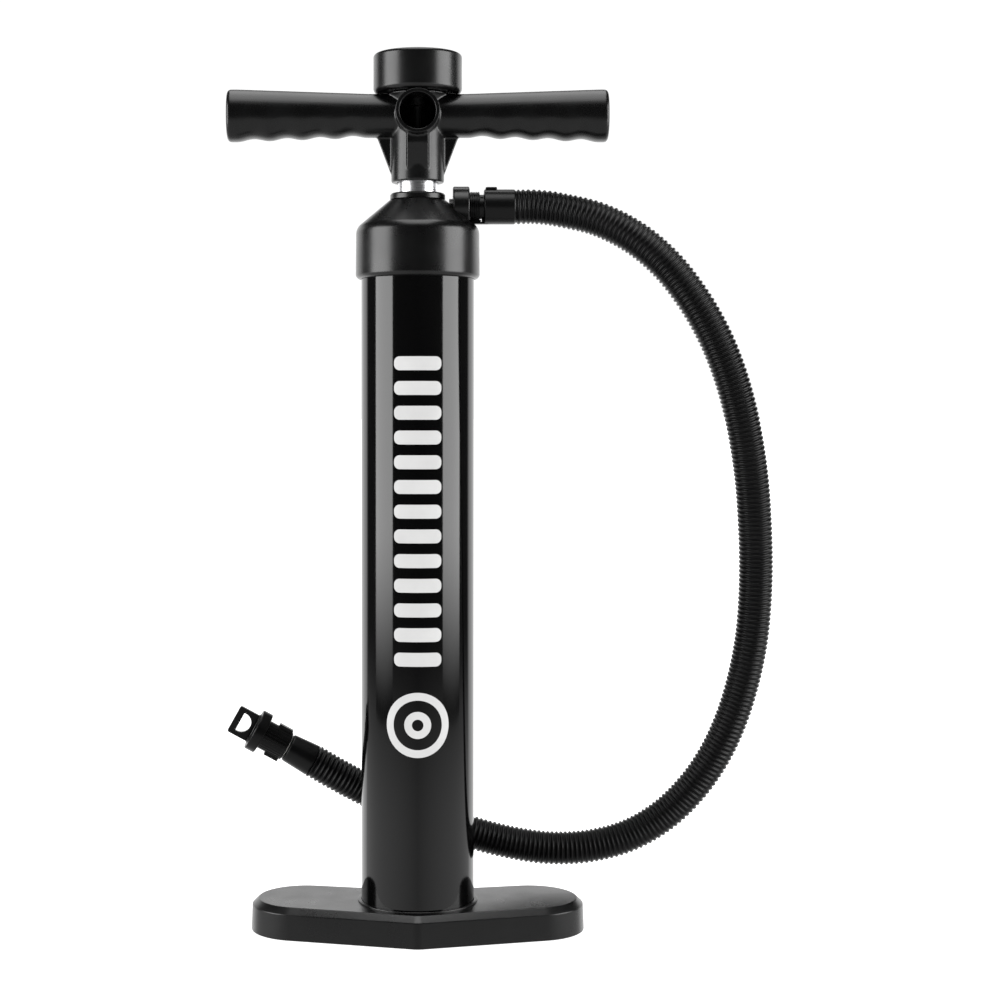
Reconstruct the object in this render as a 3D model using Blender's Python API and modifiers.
"""Double action hand pump: a T handle with a gauge, a two-walled cylinder on a swept foot, and a hose.

+Z is up. The origin is on the cylinder's axis at floor level, -Y is the front and +X is the port's side.
Sizes are in mm, except for the hose's route, and every object is made in metres.
The pump is drawn with its handle pushed down, which is where the piston rests on its lower bumper.
"""

import math

import bpy
import bmesh
from mathutils import Matrix, Vector

MM = 0.001
GAP = 0.3

# Steps round a turned piece: large shells, rings of middle size, small pieces, drilled holes.
ROUND_LARGE = 32
ROUND = 24
ROUND_PORT = 20
ROUND_SMALL = 16
ROUND_SCREW = 12
ROUND_HOLE = 8
# Drilled rings start half a step round, so that no hole's centre falls on a turned piece's edge.
HALF_STEP = math.pi / ROUND

# Foot: a plate with two arms swept back from a point at the front.
FOOT_Z0 = 0.3
FOOT_Z1 = 22.5
FOOT_CHAMFER = 4.1
FOOT_TIP_X = 81.2
FOOT_TIP_Y = 8.0
FOOT_TIP_R = 37.4
FOOT_NOSE_Y = -51.2
FOOT_NOSE_R = 14.0
FOOT_FRONT_SLOPE = math.atan(0.2425)
FOOT_BACK_SLOPE = math.atan(0.20)
FOOT_HUB_R = 46.3
FOOT_WALL = 4.8
FOOT_ROOF_Z = 18.0
RIB_HALF_T = 1.5
RIB_SPOTS = (62.0, 80.0)
SPINE_Y = -10.0
SOCKET_Z = 5.0
LIP_R = 42.4
LIP_TOP_Z = 23.7

# Rubber pads and the screws that hold the foot.
PAD_T = 2.2
PAD_R = 7.0
PAD_CENTRE_R = 17.0
PAD_SPOTS = ((96.0, -10.0), (90.0, 28.0))
PAD_BOSS_R = 9.5
SCREW_RING_R = 26.0
SCREW_R = 1.9
SCREW_HEAD_R = 4.0
SCREW_HEAD_TOP_Z = 3.1

# Cylinder: an outer tube round a working liner, with an air passage between them.
TUBE_R = 40.0
TUBE_BORE_R = 38.0
TUBE_TOP_Z = 489.7
LINER_R = 36.0
LINER_BORE_R = 34.0
LINER_Z0 = 12.0
LINER_TOP_Z = 485.7
WINDOW_Z0 = 13.5
WINDOW_Z1 = 18.5
WINDOW_WIDTH = 14.0

# Collar on top of the cylinder, with the hose port on its right.
COLLAR_R = 43.9
COLLAR_Z0 = 463.4
COLLAR_TOP_Z = 519.5
NECK_BORE_R = 17.3
BUSH_R = 17.0
PORT_Z = 514.8
PORT_BOSS_R = 14.3
PORT_BOSS_X0 = 24.8
PORT_BOSS_X1 = 36.6
PORT_SEAT_R = 11.1
PORT_BORE_R = 7.0
PORT_STEP_R = 5.0
PORT_REACH_X = 50.0
SPIGOT_BORE_R = 5.0
CUFF_R = 12.3

# Piston rod and piston.
ROD_R = 14.0
ROD_BORE_R = 12.5
ROD_Z0 = 28.9
ROD_TOP_Z = 563.0
ROD_HOLE_R = ROD_R + GAP
PISTON_R = 33.4
PISTON_SEAL_R = 33.7
PISTON_Z0 = 37.7
PISTON_TOP_Z = 63.0
PISTON_HUB_R = 21.5
NUT_R = 20.8
NUT_Z0 = 28.7
NUT_TOP_Z = 35.6

# Handle: hub, two arms, and the open air port facing the front.
HUB_Z0 = 531.7
HUB_TOP_Z = 594.0
HUB_R = 18.7
ARM_Z = 579.0
ARM_END_X = 134.4
ARM_INNER_X = 34.8
ARM_GRIP_X = 127.6
# How far from the arm's end the section starts to close, and its share of the full section there.
ARM_END_CURVE = ((4.0, 1.0), (2.7, 0.965), (1.6, 0.86), (0.7, 0.6), (0.0, 0.25))
FINGER_GROOVES = 4
FINGER_DEPTH = 1.8
GUSSET_TOP_X = 30.0
GUSSET_TOP_Z = 567.0
GUSSET_LOW_Z = 538.0
GUSSET_HALF_T = 2.6
AIR_PORT_Z = 578.5
AIR_PORT_R = 15.4
AIR_PORT_BORE_R = 12.7
AIR_PORT_FACE_Y = -30.0
AIR_PORT_FLOOR_Y = 1.3
AIR_CAVITY_R = 12.2
WEB_Y = -22.0
WEB_HALF_X = 7.6
HANDLE_SCREW_Z = 545.0
HANDLE_SCREW_SEAT_Y = 15.6

# Gauge on top of the handle.
CUP_R = 31.3
CUP_Z0 = 594.3
CUP_FLOOR_Z = 598.0
CUP_TOP_Z = 622.0
CUP_BORE_R = 25.0
LENS_R = 26.1
LENS_Z0 = 616.8
LENS_TOP_Z = 619.3
BEZEL_BORE_R = 23.9
BEZEL_TOP_Z = 621.3
DIAL_R = 24.7
DIAL_Z0 = 609.0
DIAL_TOP_Z = 610.0
STEM_R = 5.0
SPINDLE_R = 1.3
NEEDLE_LENGTH = 21.0
NEEDLE_Z0 = 611.0
NEEDLE_T = 0.7

# Hose: corrugated outside, drawn as a plain tube of its outer diameter. Its route is in metres.
HOSE_R = 12.2
HOSE_ROUTE = (
    (0.0695, 0.000, 0.5148),
    (0.0840, 0.000, 0.5148),
    (0.1010, -0.002, 0.5124),
    (0.1277, -0.007, 0.5052),
    (0.1525, -0.012, 0.4918),
    (0.1737, -0.015, 0.4735),
    (0.1912, -0.016, 0.4515),
    (0.2061, -0.014, 0.4273),
    (0.2177, -0.010, 0.4022),
    (0.2268, -0.005, 0.3754),
    (0.2336, 0.001, 0.3476),
    (0.2387, 0.008, 0.3195),
    (0.2420, 0.015, 0.2906),
    (0.2440, 0.021, 0.2616),
    (0.2444, 0.027, 0.2322),
    (0.2426, 0.032, 0.2030),
    (0.2378, 0.037, 0.1738),
    (0.2297, 0.041, 0.1446),
    (0.2180, 0.045, 0.1173),
    (0.2019, 0.048, 0.0928),
    (0.1811, 0.0505, 0.0718),
    (0.1559, 0.0525, 0.0566),
    (0.1277, 0.0535, 0.0487),
    (0.0985, 0.0535, 0.0472),
    (0.0690, 0.0535, 0.0512),
    (0.0388, 0.0535, 0.0589),
    (0.0092, 0.0535, 0.0686),
    (-0.0166, 0.0525, 0.0802),
    (-0.0408, 0.0503, 0.0923),
    (-0.0600, 0.0474, 0.1032),
    (-0.0763, 0.0460, 0.1129),
)
HOSE_STEP = 0.030
HOSE_LEAD = 0.005

# Hose end: lengths run from the end of the hose towards the tip.
HOSE_TIP = Vector((-0.1350, 0.0410, 0.1457))
CUFF_END = 22.2
BARREL_START = 23.0
BARREL_R = 10.9
BARREL_BORE_R = 7.5
LUG_REACH = 12.85
LUG_HALF_WIDTH = 3.2
FLANGE_START = 42.6
FLANGE_END = 50.3
FLANGE_R = 15.4
TAB_START = 46.0
TAB_END = 67.0
TAB_HALF_WIDTH = 10.6
TAB_T = 3.0
TAB_HOLE_FLAT = 62.1
TAB_HOLE_STRAIGHT = 1.3
TAB_HOLE_R = 7.1


# ---------------------------------------------------------------- scene, materials and small tools


def clear_scene():
    for obj in list(bpy.data.objects):
        bpy.data.objects.remove(obj, do_unlink=True)


def new_collection(name):
    collection = bpy.data.collections.new(name)
    bpy.context.scene.collection.children.link(collection)
    return collection


clear_scene()
PARTS = new_collection("double_action_hand_pump")
CUTTERS = new_collection("cutters")
CUTTERS.hide_render = True


def new_material(name, colour, roughness, metallic=0.0):
    material = bpy.data.materials.new(name)
    material.use_nodes = True
    shader = material.node_tree.nodes["Principled BSDF"]
    shader.inputs["Base Color"].default_value = (*colour, 1.0)
    shader.inputs["Roughness"].default_value = roughness
    shader.inputs["Metallic"].default_value = metallic
    return material


SATIN_BLACK = new_material("satin_black_plastic", (0.020, 0.021, 0.022), 0.38)
GLOSS_BLACK = new_material("gloss_black_tube", (0.012, 0.012, 0.013), 0.12)
HOSE_BLACK = new_material("black_hose", (0.015, 0.015, 0.016), 0.42)
RUBBER = new_material("black_rubber", (0.018, 0.018, 0.018), 0.75)
ALUMINIUM = new_material("bright_aluminium", (0.82, 0.82, 0.84), 0.22, 1.0)
STEEL = new_material("zinc_steel", (0.62, 0.62, 0.64), 0.32, 1.0)
BRASS = new_material("brass", (0.72, 0.53, 0.23), 0.30, 1.0)
WHITE_PLASTIC = new_material("natural_plastic", (0.78, 0.77, 0.73), 0.45)
DIAL_WHITE = new_material("white_dial", (0.86, 0.86, 0.84), 0.55)
NEEDLE_RED = new_material("red_needle", (0.62, 0.03, 0.02), 0.45)
CLEAR = new_material("clear_lens", (0.90, 0.93, 0.94), 0.05)


def add_object(name, data, finish, collection):
    obj = bpy.data.objects.new(name, data)
    collection.objects.link(obj)
    if finish is None:
        obj.hide_render = True
        obj.display_type = "WIRE"
    else:
        data.materials.append(finish)
    return obj


def object_of(name, bm, finish=None):
    """An object of this bmesh in mm: a part where it has a finish, and otherwise a cutter."""
    bmesh.ops.scale(bm, vec=(MM, MM, MM), verts=bm.verts)
    bmesh.ops.recalc_face_normals(bm, faces=bm.faces)
    mesh = bpy.data.meshes.new(name)
    bm.to_mesh(mesh)
    bm.free()
    return add_object(name, mesh, finish, PARTS if finish else CUTTERS)


def smooth(obj, degrees=35):
    obj.data.shade_smooth()
    obj.data.set_sharp_from_angle(angle=math.radians(degrees))


def turned(name, profile, finish=None, steps=ROUND, closed=True):
    """A piece turned about Z. Its profile is (radius, height) pairs, down the outside and up the inside."""
    mesh = bpy.data.meshes.new(name)
    points = [(radius * MM, 0.0, height * MM) for radius, height in profile]
    edges = [(i, i + 1) for i in range(len(points) - 1)]
    if closed:
        edges.append((len(points) - 1, 0))
    mesh.from_pydata(points, edges, [])
    obj = add_object(name, mesh, finish, PARTS if finish else CUTTERS)
    screw = obj.modifiers.new("turn", "SCREW")
    screw.steps = steps
    screw.render_steps = steps
    screw.use_merge_vertices = True
    screw.merge_threshold = 0.000001
    screw.use_smooth_shade = True
    return obj


def ring(name, outer, inner, low, high, finish=None, steps=ROUND):
    return turned(name, ((outer, high), (outer, low), (inner, low), (inner, high)), finish, steps)


def disc(name, radius, low, high, finish=None, steps=ROUND):
    return turned(name, ((0, high), (radius, high), (radius, low), (0, low)), finish, steps, closed=False)


def hole(name, radius, start, end, steps=ROUND_HOLE):
    """A round cutter from one point to another."""
    start = Vector(start)
    along = Vector(end) - start
    bm = bmesh.new()
    bmesh.ops.create_cone(bm, cap_ends=True, segments=steps, radius1=radius, radius2=radius, depth=along.length)
    turn = along.to_track_quat("Z", "Y").to_matrix().to_4x4()
    bmesh.ops.transform(bm, matrix=Matrix.Translation(start + along / 2) @ turn, verts=bm.verts)
    return object_of(name, bm)


def box(name, low, high, finish=None, turn=0.0):
    """A box between two corners, turned about Z through the world's origin."""
    low = Vector(low)
    high = Vector(high)
    bm = bmesh.new()
    bmesh.ops.create_cube(bm, size=1.0)
    size = Matrix.Diagonal((*(high - low), 1.0))
    bmesh.ops.transform(bm, matrix=Matrix.Translation((low + high) / 2) @ size, verts=bm.verts)
    bmesh.ops.rotate(bm, matrix=Matrix.Rotation(turn, 3, "Z"), verts=bm.verts)
    return object_of(name, bm, finish)


def prism(name, outline, across, half_depth):
    """A cutter or block: an outline of (u, z) points, spread to both sides along X or Y."""
    bm = bmesh.new()
    rings = []
    for side in (-half_depth, half_depth):
        corners = [(u, side, z) if across == "Y" else (side, u, z) for u, z in outline]
        rings.append([bm.verts.new(corner) for corner in corners])
    bm.faces.new(rings[0])
    bm.faces.new(reversed(rings[1]))
    count = len(outline)
    for i in range(count):
        j = (i + 1) % count
        bm.faces.new((rings[0][i], rings[1][i], rings[1][j], rings[0][j]))
    return object_of(name, bm)


def loft(name, rings, finish=None):
    """A closed skin over rings that all have the same number of points."""
    bm = bmesh.new()
    rows = [[bm.verts.new(point) for point in points] for points in rings]
    count = len(rows[0])
    for below, above in zip(rows, rows[1:]):
        for i in range(count):
            j = (i + 1) % count
            bm.faces.new((below[i], below[j], above[j], above[i]))
    bm.faces.new(reversed(rows[0]))
    bm.faces.new(rows[-1])
    return object_of(name, bm, finish)


def boolean(obj, other, operation):
    modifier = obj.modifiers.new(f"{operation.lower()}_{other.name}", "BOOLEAN")
    modifier.object = other
    modifier.operation = operation


def cut(obj, *cutters):
    for cutter in cutters:
        boolean(obj, cutter, "DIFFERENCE")


def join(obj, *others):
    for other in others:
        boolean(obj, other, "UNION")


def ring_of(count, radius, start=0.0):
    """Points on a circle about Z, as (x, y) pairs."""
    angles = [start + 2 * math.pi * i / count for i in range(count)]
    return [(radius * math.cos(angle), radius * math.sin(angle)) for angle in angles]


def arc(centre, radius, start, end, count):
    """Points along an arc, as (x, y) pairs."""
    angles = [start + (end - start) * i / (count - 1) for i in range(count)]
    return [(centre[0] + radius * math.cos(a), centre[1] + radius * math.sin(a)) for a in angles]


# ---------------------------------------------------------------- foot


def foot_outline(inset):
    """Half the foot's outline, from the nose round the right arm to the back of the hub, then mirrored."""
    tip = (FOOT_TIP_X, FOOT_TIP_Y)
    tip_r = FOOT_TIP_R - inset
    nose_r = FOOT_NOSE_R - min(inset, FOOT_NOSE_R / 2)
    nose_y = FOOT_NOSE_Y + (inset + nose_r) / math.cos(FOOT_FRONT_SLOPE)
    nose = arc((0, nose_y), nose_r, -math.pi / 2, FOOT_FRONT_SLOPE - math.pi / 2, 3)
    end = arc(tip, tip_r, FOOT_FRONT_SLOPE - math.pi / 2, FOOT_BACK_SLOPE + math.pi / 2, 12)
    hub_r = FOOT_HUB_R - inset
    slope = math.tan(FOOT_BACK_SLOPE)
    height = tip[1] - slope * tip[0] + tip_r / math.cos(FOOT_BACK_SLOPE)
    spread = math.sqrt((slope * height) ** 2 - (1 + slope**2) * (height**2 - hub_r**2))
    meet_x = (-slope * height + spread) / (1 + slope**2)
    meet = math.atan2(height + slope * meet_x, meet_x)
    hub = arc((0, 0), hub_r, meet, math.pi / 2, 5)
    right = nose + end + hub
    left = [(-x, y) for x, y in reversed(right[1:-1])]
    return right + left


def foot_ring(inset, z):
    return [(x, y, z) for x, y in foot_outline(inset)]


def foot_block(name, finish=None):
    edge_z = FOOT_Z1 - FOOT_CHAMFER
    rings = [foot_ring(0.0, FOOT_Z0), foot_ring(0.0, edge_z), foot_ring(FOOT_CHAMFER, FOOT_Z1)]
    return loft(name, rings, finish)


def foot_hollow():
    """The open cells under both arms, between the hub, the ribs and the pad bosses."""
    hollow = loft("foot_hollow", [foot_ring(FOOT_WALL, -1.0), foot_ring(FOOT_WALL, FOOT_ROOF_Z)])
    low = -5
    high = 30
    cut(hollow, disc("keep_hub", FOOT_HUB_R + 0.5, low, high, steps=ROUND))
    for side in (-1, 1):
        near, far = sorted((side * TUBE_R, side * (FOOT_TIP_X + FOOT_TIP_R + 10)))
        tilt = side * math.atan((FOOT_TIP_Y - SPINE_Y) / FOOT_TIP_X)
        spine = ((near, SPINE_Y - RIB_HALF_T, low), (far, SPINE_Y + RIB_HALF_T, high))
        cut(hollow, box(f"keep_spine_{side}", *spine, turn=tilt))
        for number, x in enumerate(RIB_SPOTS):
            rib = ((side * x - RIB_HALF_T, -60, low), (side * x + RIB_HALF_T, 60, high))
            cut(hollow, box(f"keep_rib_{side}_{number}", *rib))
        for number, (x, y) in enumerate(PAD_SPOTS):
            boss = ((side * x, y, low), (side * x, y, high))
            cut(hollow, hole(f"keep_boss_{side}_{number}", PAD_BOSS_R, *boss, ROUND_SCREW))
    return hollow


def make_foot():
    foot = foot_block("foot_base", SATIN_BLACK)
    lip = (
        (LIP_R - 1.1, LIP_TOP_Z),
        (LIP_R, LIP_TOP_Z - 1.1),
        (LIP_R, 20.0),
        (38.0, 20.0),
        (38.0, LIP_TOP_Z),
    )
    join(foot, turned("socket_lip", lip, steps=ROUND_LARGE))
    cut(foot, foot_hollow(), disc("socket", TUBE_R + GAP, SOCKET_Z, 35, steps=ROUND_LARGE))
    seat_z = PAD_T + GAP
    cut(foot, disc("centre_pad_seat", PAD_CENTRE_R + GAP, -1, seat_z, steps=ROUND_SMALL))
    for side in (-1, 1):
        for number, (x, y) in enumerate(PAD_SPOTS):
            seat = ((side * x, y, -1), (side * x, y, seat_z))
            cut(foot, hole(f"pad_seat_{side}_{number}", PAD_R + GAP, *seat, ROUND_SCREW))
    for number, (x, y) in enumerate(ring_of(4, SCREW_RING_R, math.pi / 4)):
        cut(foot, hole(f"screw_way_{number}", SCREW_R + 0.4, (x, y, 1), (x, y, 8)))
        head = ((x, y, -2), (x, y, SCREW_HEAD_TOP_Z + GAP))
        cut(foot, hole(f"screw_head_way_{number}", SCREW_HEAD_R + 0.4, *head, ROUND_SCREW))
    smooth(foot)


def make_pads():
    disc("foot_pad_centre", PAD_CENTRE_R, 0, PAD_T, RUBBER, ROUND_SMALL)
    names = {(-1, 0): "front_left", (1, 0): "front_right", (-1, 1): "rear_left", (1, 1): "rear_right"}
    for (side, number), place in names.items():
        pad = disc(f"foot_pad_{place}", PAD_R, 0, PAD_T, RUBBER, ROUND_SCREW)
        x, y = PAD_SPOTS[number]
        pad.location = (side * x * MM, y * MM, 0)


def make_base_screws():
    profile = (
        (0, 14.0),
        (SCREW_R, 14.0),
        (SCREW_R, SCREW_HEAD_TOP_Z),
        (SCREW_HEAD_R, SCREW_HEAD_TOP_Z),
        (SCREW_HEAD_R, 1.4),
        (0, 1.4),
    )
    for number, (x, y) in enumerate(ring_of(4, SCREW_RING_R, math.pi / 4)):
        screw = turned(f"base_screw_{number + 1}", profile, STEEL, ROUND_SCREW, closed=False)
        screw.location = (x * MM, y * MM, 0)


# ---------------------------------------------------------------- cylinder


def window_cutters(name):
    """Two crossing bars that open four windows through the liner's foot and the plug's wall."""
    half = WINDOW_WIDTH / 2
    reach = (LINER_R + TUBE_BORE_R) / 2
    for turn in (0.0, math.pi / 2):
        yield box(f"{name}_{round(turn)}", (-reach, -half, WINDOW_Z0), (reach, half, WINDOW_Z1), turn=turn)


def make_tubes():
    ring("outer_tube", TUBE_R, TUBE_BORE_R, SOCKET_Z + GAP, TUBE_TOP_Z, GLOSS_BLACK, ROUND_LARGE)
    liner = ring("inner_liner", LINER_R, LINER_BORE_R, LINER_Z0, LINER_TOP_Z, ALUMINIUM, ROUND_LARGE)
    cut(liner, *window_cutters("liner_window"))


def make_foot_plug():
    """The cylinder's lower end: a cup, open below, whose roof carries the lower outlet valve."""
    profile = (
        (3.3, 24.0),
        (32.7, 24.0),
        (33.7, 23.0),
        (33.7, LINER_Z0 - GAP),
        (37.4, LINER_Z0 - GAP),
        (37.4, 9.9),
        (35.7, 9.9),
        (35.7, 7.5),
        (37.4, 7.5),
        (37.4, SOCKET_Z + GAP),
        (30.5, SOCKET_Z + GAP),
        (30.5, 20.0),
        (3.3, 20.0),
    )
    plug = turned("foot_plug", profile, WHITE_PLASTIC, ROUND)
    cut(plug, *window_cutters("plug_window"))
    for number, (x, y) in enumerate(ring_of(4, SCREW_RING_R, math.pi / 4)):
        boss = hole(f"plug_boss_{number}", 4.8, (x, y, SOCKET_Z + GAP), (x, y, 21), 10)
        join(plug, boss)
    for number, (x, y) in enumerate(ring_of(4, SCREW_RING_R, math.pi / 4)):
        cut(plug, hole(f"plug_thread_{number}", SCREW_R + GAP, (x, y, 4), (x, y, 15)))
    for number, (x, y) in enumerate(ring_of(6, 13, HALF_STEP)):
        cut(plug, hole(f"plug_port_{number}", 2.8, (x, y, 18), (x, y, 26)))
    ring("foot_o_ring", 37.7, 36.0, 7.8, 9.6, RUBBER)
    ring("lower_outlet_valve", 18.5, 3.6, 18.5, 19.7, RUBBER, ROUND_SMALL)
    post = ((0, 23.7), (3.0, 23.7), (3.0, 16.5), (7.0, 16.5), (7.0, 15.0), (0, 15.0))
    turned("lower_valve_post", post, STEEL, ROUND_SMALL, closed=False)
    ring("downstroke_bumper", 22.0, 16.0, 24.3, 28.3, RUBBER, ROUND_SMALL)


def make_cylinder_head():
    profile = (
        (35.7, 491.3),
        (35.7, 486.0),
        (33.4, 486.0),
        (33.4, 484.3),
        (31.8, 484.3),
        (31.8, 482.0),
        (33.4, 482.0),
        (33.4, 480.0),
        (14.6, 480.0),
        (14.6, 483.7),
        (16.4, 483.7),
        (16.4, 486.7),
        (14.6, 486.7),
        (14.6, 491.3),
    )
    head = turned("cylinder_head", profile, WHITE_PLASTIC, ROUND)
    for number, (x, y) in enumerate(ring_of(6, 26.5, HALF_STEP)):
        cut(head, hole(f"head_port_{number}", 2.8, (x, y, 478), (x, y, 493)))
    ring("head_o_ring", 33.7, 32.1, 482.3, 484.0, RUBBER)
    ring("head_rod_seal", 16.1, ROD_HOLE_R, 484.0, 486.4, RUBBER)
    ring("upper_outlet_valve", 33.0, 21.4, 491.6, 492.8, RUBBER)
    ring("upper_valve_guard", 24.0, 20.8, 495.3, 496.6, STEEL)


# ---------------------------------------------------------------- collar, gland and hose port


def make_collar():
    profile = (
        (19.4, COLLAR_TOP_Z),
        (20.1, 519.1),
        (40.3, 502.2),
        (42.2, 500.0),
        (43.2, 497.8),
        (43.5, 495.0),
        (COLLAR_R, 468.0),
        (42.9, 465.4),
        (40.9, COLLAR_Z0),
        (TUBE_R + GAP, COLLAR_Z0),
        (TUBE_R + GAP, TUBE_TOP_Z + GAP),
        (37.5, TUBE_TOP_Z + GAP),
        (37.2, 500.9),
        (23.2, 512.8),
        (20.5, 512.8),
        (20.5, 491.6),
        (ROD_HOLE_R + GAP, 491.6),
        (ROD_HOLE_R + GAP, 494.0),
        (NECK_BORE_R, 494.0),
        (NECK_BORE_R, COLLAR_TOP_Z),
    )
    collar = turned("top_collar", profile, SATIN_BLACK, ROUND_LARGE)
    boss = hole("port_boss", PORT_BOSS_R, (PORT_BOSS_X0, 0, PORT_Z), (PORT_BOSS_X1, 0, PORT_Z), ROUND)
    step = hole("port_step", PORT_STEP_R, (21.8, 0, PORT_Z), (26, 0, PORT_Z), ROUND_SCREW)
    join(collar, boss, step)
    mouth = (PORT_REACH_X, 0, PORT_Z)
    cut(collar, hole("spigot_seat", PORT_SEAT_R, (PORT_BOSS_X1, 0, PORT_Z), mouth, ROUND))
    cut(collar, hole("port_bore", PORT_BORE_R, (27.5, 0, PORT_Z), mouth, ROUND_SMALL))
    cut(collar, hole("port_passage", 3.6, (32, 0, 498), (32, 0, 514), ROUND_SCREW))


def make_gland():
    bore = ROD_HOLE_R + 0.1
    low = 512.0
    nut = (
        (18.4, 524.0),
        (19.3, 523.2),
        (19.5, 519.8),
        (BUSH_R, 519.8),
        (BUSH_R, low),
        (bore, low),
        (bore, 524.0),
    )
    turned("gland_nut", nut, GLOSS_BLACK, ROUND)
    ring("rod_seal", BUSH_R, ROD_HOLE_R, 508.5, low - GAP, RUBBER)
    ring("rod_bush", BUSH_R, ROD_HOLE_R, 494.3, 508.2, WHITE_PLASTIC)


def along_x(obj, z):
    """Lays a piece that was turned about Z along X, so that its heights become X places."""
    obj.rotation_euler = (0, math.pi / 2, 0)
    obj.location = (0, 0, z * MM)


def make_hose_port():
    spigot = (
        (8.0, 58.0),
        (8.6, 57.4),
        (8.6, 52.6),
        (7.2, 52.6),
        (7.2, 50.0),
        (8.6, 50.0),
        (8.6, 43.7),
        (10.65, 43.7),
        (10.65, 36.9),
        (6.7, 36.9),
        (6.7, 28.0),
        (SPIGOT_BORE_R, 28.0),
        (SPIGOT_BORE_R, 58.0),
    )
    along_x(turned("hose_spigot", spigot, SATIN_BLACK, ROUND_PORT), PORT_Z)
    along_x(ring("spigot_o_ring", 9.1, 7.5, 50.3, 52.3, RUBBER, ROUND_PORT), PORT_Z)
    cuff = (
        (10.9, 69.2),
        (CUFF_R, 68.2),
        (CUFF_R, 47.4),
        (11.4, 46.8),
        (9.4, 46.8),
        (9.4, 60.0),
        (7.5, 60.0),
        (7.5, 69.2),
    )
    upper = turned("upper_hose_cuff", cuff, SATIN_BLACK, ROUND_PORT)
    along_x(upper, PORT_Z)
    join(upper, box("cuff_lug", (47.9, -4, PORT_Z + 10.5), (56.1, 4, PORT_Z + CUFF_R + 1.5)))


# ---------------------------------------------------------------- piston rod and piston


def drill_intakes(piston, rod):
    """Air from the hollow rod reaches both faces of the piston through drilled ways."""
    for level, mouth, name in ((44.0, 40.0, "down"), (57.0, 61.0, "up")):
        for number, (x, y) in enumerate(ring_of(3, 26.5, HALF_STEP)):
            inner = Vector((x, y, 0)).normalized() * (ROD_BORE_R - 2.5)
            inner.z = level
            outer = (x, y, level)
            way = hole(f"intake_{name}_{number}", 2.1, inner, outer)
            cut(piston, way, hole(f"mouth_{name}_{number}", 2.5, outer, (x, y, mouth)))
            cut(rod, way)


def make_piston():
    bore = ROD_HOLE_R
    profile = (
        (PISTON_HUB_R, PISTON_TOP_Z),
        (PISTON_HUB_R, 60.0),
        (PISTON_R, 60.0),
        (PISTON_R, 54.0),
        (29.0, 54.0),
        (29.0, 46.5),
        (PISTON_R, 46.5),
        (PISTON_R, 40.7),
        (PISTON_HUB_R, 40.7),
        (PISTON_HUB_R, PISTON_Z0),
        (bore, PISTON_Z0),
        (bore, PISTON_TOP_Z),
    )
    piston = turned("piston", profile, WHITE_PLASTIC, ROUND)
    rod = ring("piston_rod", ROD_R, ROD_BORE_R, ROD_Z0, ROD_TOP_Z, ALUMINIUM)
    drill_intakes(piston, rod)
    cut(rod, hole("rod_screw_way", 2.3, (0, 9, HANDLE_SCREW_Z), (0, 20, HANDLE_SCREW_Z)))
    seal = (
        (PISTON_SEAL_R, 53.7),
        (PISTON_SEAL_R, 51.5),
        (PISTON_SEAL_R - 0.6, 50.2),
        (PISTON_SEAL_R, 49.0),
        (PISTON_SEAL_R, 46.8),
        (29.3, 46.8),
        (29.3, 53.7),
    )
    turned("piston_seal", seal, RUBBER, ROUND)
    ring("lower_intake_valve", 31.0, 22.0, 39.2, 40.4, RUBBER, ROUND)
    ring("upper_intake_valve", 31.0, 22.0, 60.3, 61.5, RUBBER, ROUND)
    ring("piston_washer", 25.0, bore, NUT_TOP_Z + GAP, PISTON_Z0 - GAP, STEEL)
    make_nut(bore)
    ring("rod_collar", 25.0, bore, PISTON_TOP_Z + GAP, 67.0, STEEL)
    ring("upstroke_bumper", 21.0, bore, 67.3, 73.3, RUBBER)
    ring("gauge_line", 3.0, 1.6, 70.0, 585.6, WHITE_PLASTIC, 10)


def make_nut(bore):
    """A hexagon nut across 36 mm, with a round hole."""
    bm = bmesh.new()
    height = NUT_TOP_Z - NUT_Z0
    bmesh.ops.create_cone(bm, cap_ends=True, segments=6, radius1=NUT_R, radius2=NUT_R, depth=height)
    bmesh.ops.translate(bm, vec=(0, 0, NUT_Z0 + height / 2), verts=bm.verts)
    nut = object_of("piston_nut", bm, STEEL)
    cut(nut, hole("nut_thread", bore, (0, 0, 20), (0, 0, 40), ROUND))


# ---------------------------------------------------------------- handle


def arm_section(x, swell):
    """Half height above and below the arm's line, and half depth, at a place along the arm."""
    run = max(0.0, abs(x) - ARM_INNER_X) / (ARM_GRIP_X - ARM_INNER_X)
    run = min(run, 1.0)
    above = 15.2 + 3.1 * run
    below = 15.4 + 3.0 * run
    if ARM_INNER_X < abs(x) < ARM_GRIP_X:
        below -= FINGER_DEPTH / 2 * (1 - math.cos(2 * math.pi * FINGER_GROOVES * run))
    depth = 15.0 + 1.5 * run
    return above * swell, below * swell, depth * swell


def arm_ring(x, swell, count=16):
    above, below, depth = arm_section(x, swell)
    points = []
    for i in range(count):
        angle = 2 * math.pi * i / count
        up = math.copysign(abs(math.sin(angle)) ** 0.9, math.sin(angle))
        out = math.copysign(abs(math.cos(angle)) ** 0.9, math.cos(angle))
        points.append((x, depth * out, ARM_Z + (above if up > 0 else below) * up))
    return points


def arm_stations():
    """Places along the right arm and how much the section is drawn in there, from the hub to the tip."""
    per_groove = 4
    count = FINGER_GROOVES * per_groove
    grip = ARM_GRIP_X - ARM_INNER_X
    stations = [(ARM_INNER_X + grip * i / count, 1.0) for i in range(count + 1)]
    return stations + [(ARM_END_X - back, swell) for back, swell in ARM_END_CURVE]


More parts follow.
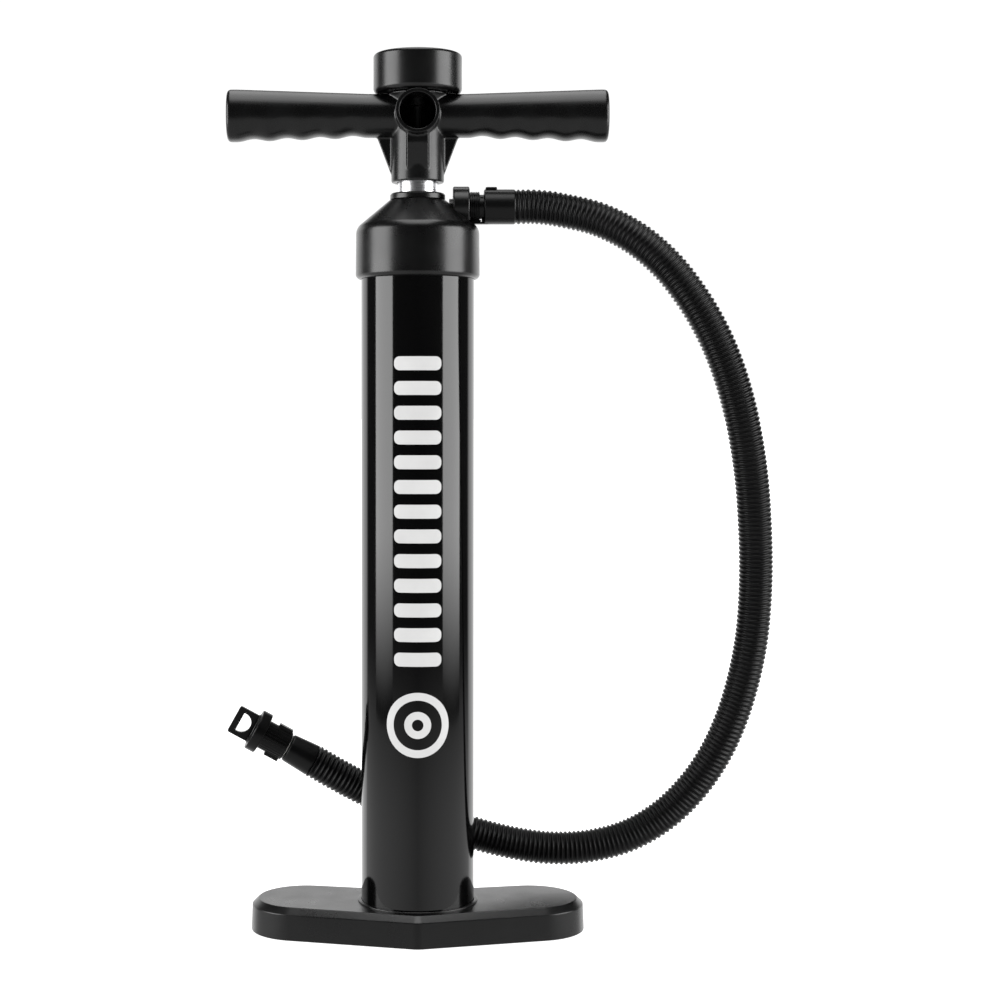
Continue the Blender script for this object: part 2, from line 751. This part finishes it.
def make_handle():
    right = arm_stations()
    left = [(-x, swell) for x, swell in reversed(right)]
    handle = loft("handle_body", [arm_ring(x, swell) for x, swell in left + right], SATIN_BLACK)
    hub = (
        (0, HUB_TOP_Z),
        (22.8, HUB_TOP_Z),
        (22.0, 592.6),
        (20.4, 589.6),
        (19.2, 586.2),
        (HUB_R - 0.1, 582.0),
        (HUB_R, HUB_Z0 + 0.9),
        (HUB_R - 0.8, HUB_Z0),
        (0, HUB_Z0),
    )
    gusset = (
        (-GUSSET_TOP_X, GUSSET_TOP_Z),
        (-HUB_R, GUSSET_LOW_Z),
        (HUB_R, GUSSET_LOW_Z),
        (GUSSET_TOP_X, GUSSET_TOP_Z),
    )
    web = (
        (WEB_Y, 574.3),
        (-3.1, 574.3),
        (-3.1, 540.4),
        (WEB_Y + 3.8, 540.4),
        (WEB_Y, 558.0),
    )
    join(handle, turned("hub", hub, closed=False))
    join(handle, prism("gusset", gusset, "Y", GUSSET_HALF_T))
    join(handle, prism("front_web", web, "X", WEB_HALF_X))
    stub = ((0, AIR_PORT_FACE_Y, AIR_PORT_Z), (0, -2.7, AIR_PORT_Z))
    join(handle, hole("air_port", AIR_PORT_R, *stub, ROUND_LARGE))
    cut(handle, disc("rod_socket", ROD_HOLE_R, 520, ROD_TOP_Z + GAP))
    cut(handle, disc("air_cavity", AIR_CAVITY_R, 550, 589.5))
    port = ((0, AIR_PORT_FACE_Y - 10, AIR_PORT_Z), (0, AIR_PORT_FLOOR_Y, AIR_PORT_Z))
    cut(handle, hole("air_port_bore", AIR_PORT_BORE_R, *port, 26))
    cut(handle, disc("stem_way", STEM_R + GAP, 585, 600, steps=ROUND_SMALL))
    cut(handle, hole("handle_screw_way", 2.3, (0, 10, HANDLE_SCREW_Z), (0, 17, HANDLE_SCREW_Z)))
    seat = (0, HANDLE_SCREW_SEAT_Y, HANDLE_SCREW_Z)
    cut(handle, hole("handle_screw_head_way", 4.2, seat, (0, 25, HANDLE_SCREW_Z), 14))
    smooth(handle)


def make_handle_screw():
    """Turned about Z with its head up, then laid so that the head faces the back of the hub."""
    seat = HANDLE_SCREW_SEAT_Y + GAP
    profile = ((0, 18.0), (3.2, 18.0), (3.9, 17.2), (3.9, seat), (2.0, seat), (2.0, 9.6), (0, 9.6))
    screw = turned("handle_screw", profile, STEEL, ROUND_SCREW, closed=False)
    screw.rotation_euler = (-math.pi / 2, 0, 0)
    screw.location = (0, 0, HANDLE_SCREW_Z * MM)


# ---------------------------------------------------------------- gauge


def make_gauge():
    cup = (
        (27.0, CUP_TOP_Z),
        (29.4, 621.0),
        (30.8, 619.2),
        (CUP_R, 617.2),
        (CUP_R, 598.0),
        (30.2, 595.6),
        (28.2, CUP_Z0),
        (STEM_R + GAP, CUP_Z0),
        (STEM_R + GAP, CUP_FLOOR_Z),
        (CUP_BORE_R, CUP_FLOOR_Z),
        (CUP_BORE_R, LENS_Z0 - GAP),
        (LENS_R + GAP, LENS_Z0 - GAP),
        (LENS_R + GAP, CUP_TOP_Z),
    )
    turned("gauge_housing", cup, SATIN_BLACK, ROUND_LARGE)
    disc("gauge_lens", LENS_R, LENS_Z0, LENS_TOP_Z, CLEAR)
    ring("gauge_bezel", LENS_R, BEZEL_BORE_R, LENS_TOP_Z + GAP, BEZEL_TOP_Z, SATIN_BLACK)
    bore = SPINDLE_R + 0.4
    ring("gauge_dial", DIAL_R, bore, DIAL_Z0, DIAL_TOP_Z, DIAL_WHITE)
    top = DIAL_Z0 - GAP
    low = CUP_FLOOR_Z + GAP
    movement = ((bore, top), (9.0, top), (9.0, 606.0), (16.0, 606.0), (16.0, low), (bore, low))
    turned("gauge_movement", movement, BRASS, ROUND_SMALL)
    ring("gauge_stem", STEM_R, 1.6, 586.0, CUP_FLOOR_Z - GAP, BRASS, ROUND_SMALL)
    disc("gauge_spindle", SPINDLE_R, 601.0, 612.6, STEEL, 10)
    make_needle()


def make_needle():
    """A flat pointer on a round boss that grips the spindle. It rests at the scale's zero, front left."""
    bm = bmesh.new()
    tip = -NEEDLE_LENGTH
    outline = ((-2.0, 0.0), (-1.1, 6.5), (1.1, 6.5), (2.0, 0.0), (0.3, tip), (-0.3, tip))
    face = bm.faces.new([bm.verts.new((x, y, NEEDLE_Z0)) for x, y in outline])
    lifted = bmesh.ops.extrude_face_region(bm, geom=[face])["geom"]
    raised = [item for item in lifted if isinstance(item, bmesh.types.BMVert)]
    bmesh.ops.translate(bm, vec=(0, 0, NEEDLE_T), verts=raised)
    bmesh.ops.rotate(bm, matrix=Matrix.Rotation(math.radians(-45), 3, "Z"), verts=bm.verts)
    needle = object_of("gauge_needle", bm, NEEDLE_RED)
    join(needle, disc("needle_boss", 3.2, NEEDLE_Z0 - 0.2, NEEDLE_Z0 + 1.2, steps=ROUND_SMALL))
    cut(needle, disc("needle_bore", SPINDLE_R + GAP, 605, 615, steps=ROUND_SCREW))


# ---------------------------------------------------------------- hose and its far end


def catmull_rom(points, step):
    """Points about one step apart on a smooth curve through the route, with a short lead at each end."""
    points = [Vector(point) for point in points]
    ends = [2 * points[0] - points[1]] + points + [2 * points[-1] - points[-2]]
    fine = []
    for before, start, end, after in zip(ends, ends[1:], ends[2:], ends[3:]):
        for i in range(12):
            t = i / 12
            fine.append(
                0.5
                * (
                    2 * start
                    + (end - before) * t
                    + (2 * before - 5 * start + 4 * end - after) * t**2
                    + (3 * start - before - 3 * end + after) * t**3
                )
            )
    fine.append(points[-1])
    lengths = [0.0]
    for one, two in zip(fine, fine[1:]):
        lengths.append(lengths[-1] + (two - one).length)
    count = round(lengths[-1] / step)
    targets = [lengths[-1] * i / count for i in range(count + 1)]
    targets = sorted(targets + [HOSE_LEAD, lengths[-1] - HOSE_LEAD])
    chosen = []
    place = 0
    for target in targets:
        while place < len(fine) - 2 and lengths[place + 1] < target:
            place += 1
        share = (target - lengths[place]) / (lengths[place + 1] - lengths[place])
        chosen.append(fine[place].lerp(fine[place + 1], min(share, 1.0)))
    return chosen


def make_hose():
    curve = bpy.data.curves.new("hose", "CURVE")
    curve.dimensions = "3D"
    curve.bevel_depth = HOSE_R * MM
    curve.bevel_resolution = 2
    curve.use_fill_caps = True
    points = catmull_rom(HOSE_ROUTE, HOSE_STEP)
    spline = curve.splines.new("POLY")
    spline.points.add(len(points) - 1)
    for place, point in zip(spline.points, points):
        place.co = (*point, 1.0)
    add_object("hose", curve, HOSE_BLACK, PARTS)


def hose_end_frame():
    """An empty at the hose's far end: its Z runs out to the tip, and its Y faces the front."""
    start = Vector(HOSE_ROUTE[-1])
    along = (HOSE_TIP - start).normalized()
    front = Vector((0, -1, 0))
    front = (front - along * front.dot(along)).normalized()
    side = front.cross(along)
    frame = bpy.data.objects.new("hose_end", None)
    PARTS.objects.link(frame)
    turn = Matrix((side, front, along)).transposed().to_4x4()
    frame.matrix_world = Matrix.Translation(start) @ turn
    return frame


def make_hose_end():
    frame = hose_end_frame()
    cuff = (
        (9.0, CUFF_END),
        (10.4, 21.0),
        (11.7, 1.5),
        (11.2, 0.4),
        (7.2, 0.4),
        (7.2, CUFF_END),
    )
    lower_cuff = turned("lower_hose_cuff", cuff, SATIN_BLACK, ROUND_PORT)
    nipple = (
        (6.9, 34.0),
        (6.9, 31.6),
        (5.7, 31.6),
        (5.7, 29.4),
        (6.9, 29.4),
        (6.9, 4.0),
        (5.0, 4.0),
        (5.0, 34.0),
    )
    swivel = turned("swivel_nipple", nipple, WHITE_PLASTIC, ROUND_SMALL)
    swivel_ring = ring("swivel_o_ring", 7.2, 6.0, 29.7, 31.3, RUBBER, ROUND_SMALL)
    barrel = (
        (11.4, FLANGE_END + 1.1),
        (11.4, FLANGE_END),
        (FLANGE_R - 0.8, FLANGE_END),
        (FLANGE_R, FLANGE_END - 0.8),
        (FLANGE_R, FLANGE_START + 0.8),
        (FLANGE_R - 0.8, FLANGE_START),
        (BARREL_R, FLANGE_START),
        (BARREL_R, BARREL_START + 0.6),
        (BARREL_R - 0.6, BARREL_START),
        (BARREL_BORE_R, BARREL_START),
        (BARREL_BORE_R, FLANGE_END + 1.1),
    )
    adapter = turned("valve_adapter", barrel, SATIN_BLACK, ROUND_PORT)
    lug = box("bayonet_lugs", (-LUG_REACH, -LUG_HALF_WIDTH, 24.3), (LUG_REACH, LUG_HALF_WIDTH, 35.3))
    keep = hole("lug_gap", 8.6, (0, 0, 20), (0, 0, 40), ROUND_PORT)
    cut(lug, keep)
    tab = box("tab", (-TAB_HALF_WIDTH, -TAB_T / 2, TAB_START), (TAB_HALF_WIDTH, TAB_T / 2, TAB_END))
    join(adapter, lug, tab)
    outline = [(TAB_HOLE_R, TAB_HOLE_FLAT), (-TAB_HOLE_R, TAB_HOLE_FLAT)]
    outline += arc((0, TAB_HOLE_FLAT - TAB_HOLE_STRAIGHT), TAB_HOLE_R, -math.pi, 0, 13)
    tab_hole = prism("tab_hole", outline, "Y", 2 * TAB_T)
    cut(adapter, tab_hole)
    for piece in (lower_cuff, swivel, swivel_ring, adapter, lug, keep, tab, tab_hole):
        piece.parent = frame


def main():
    make_foot()
    make_pads()
    make_base_screws()
    make_tubes()
    make_foot_plug()
    make_cylinder_head()
    make_collar()
    make_gland()
    make_hose_port()
    make_piston()
    make_handle()
    make_handle_screw()
    make_gauge()
    make_hose()
    make_hose_end()


main()
